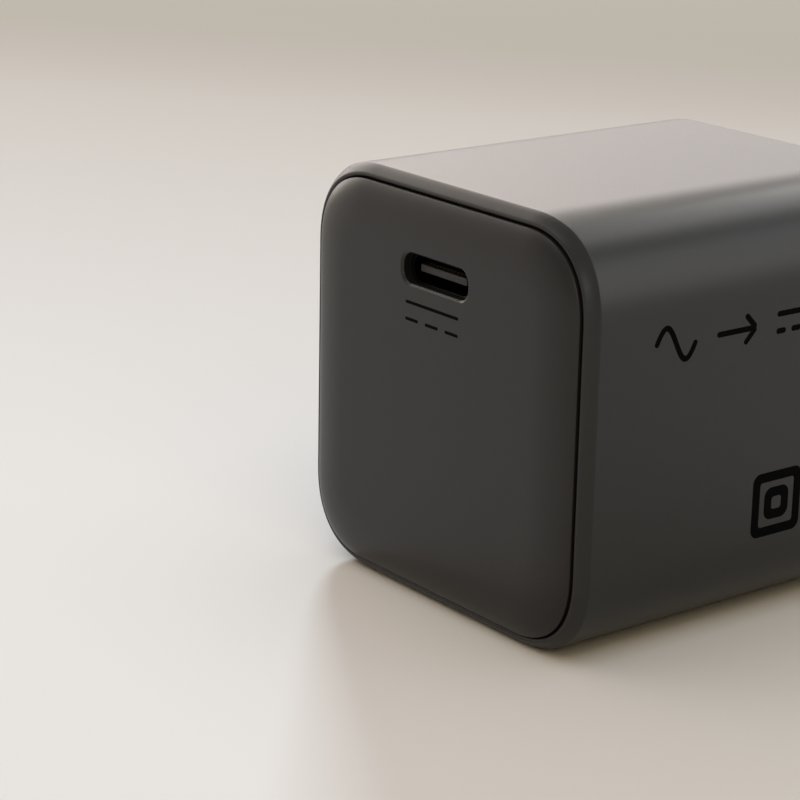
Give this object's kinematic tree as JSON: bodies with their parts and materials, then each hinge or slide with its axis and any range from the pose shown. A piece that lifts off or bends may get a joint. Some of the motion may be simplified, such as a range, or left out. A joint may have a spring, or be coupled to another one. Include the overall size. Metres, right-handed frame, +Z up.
{
  "type": "usb-c power adapter",
  "caption": "Rounded cube wall adapter: crowned front cover with an oval USB-C port set in a rounded rim, two-pin mains plug head behind, power supply inside.",
  "frame": {"origin": "middle of the flat bottom face of the body, half way along the body and its width", "axes": "+X across the front to the right as seen from the front, +Y from the port face back along the mains pins, +Z up"},
  "size_m": [0.04, 0.0803, 0.04],
  "materials": {
    "housing_plastic": "satin warm dark grey moulding with a very fine mould texture",
    "cover_plastic": "satin warm dark grey moulding, a little warmer than the body",
    "sleeve_plastic": "black insulating sleeve",
    "pin_metal": "nickel plated turned brass",
    "strip_metal": "bare stamped brass",
    "board_laminate": "green solder mask on laminate",
    "receptacle_steel": "drawn stainless steel",
    "tongue_plastic": "grey high temperature plastic",
    "contact_gold": "gold plated contacts",
    "core_ferrite": "dark sintered ferrite",
    "bobbin_plastic": "black phenolic moulding",
    "winding_tape": "yellow winding tape",
    "capacitor_sleeve": "dark shrink sleeve",
    "capacitor_can": "drawn aluminium can",
    "choke_ring": "green coated ferrite ring",
    "choke_wire": "enamelled copper wire",
    "film_case": "yellow moulded case",
    "disc_coat": "blue dipped coating",
    "fuse_case": "brown moulded case",
    "chip_plastic": "black moulding compound",
    "coupler_plastic": "white moulding compound",
    "pad_silicone": "soft grey thermal pad",
    "spreader_metal": "bent aluminium sheet",
    "sheet_film": "amber insulating film"
  },
  "bodies": {
    "root": {"housing_shell": "housing_plastic", "front_cover": "cover_plastic", "rear_cover": "housing_plastic", "mains_pin_left": "pin_metal", "mains_pin_right": "pin_metal", "pin_sleeve_left": "sleeve_plastic", "pin_sleeve_right": "sleeve_plastic", "mains_strip_left": "strip_metal", "mains_strip_right": "strip_metal", "main_board": "board_laminate", "port_board": "board_laminate", "side_board": "board_laminate", "receptacle_shell": "receptacle_steel", "receptacle_tongue": "tongue_plastic", "receptacle_contacts": "contact_gold", "transformer_core_left": "core_ferrite", "transformer_core_right": "core_ferrite", "transformer_bobbin": "bobbin_plastic", "transformer_winding": "winding_tape", "input_capacitor_left": "capacitor_sleeve", "input_capacitor_right": "capacitor_sleeve", "output_capacitor_front": "capacitor_can", "output_capacitor_back": "capacitor_can", "choke_core": "choke_ring", "choke_windings": "choke_wire", "film_capacitor": "film_case", "disc_capacitor": "disc_coat", "fuse": "fuse_case", "input_rectifier": "chip_plastic", "power_switch": "chip_plastic", "thermal_pad": "pad_silicone", "controller_chip": "chip_plastic", "coupler_chip": "coupler_plastic", "output_switch": "chip_plastic", "protocol_chip": "chip_plastic", "heat_spreader": "spreader_metal", "insulating_sheet": "sheet_film"}
  },
  "joints": []
}
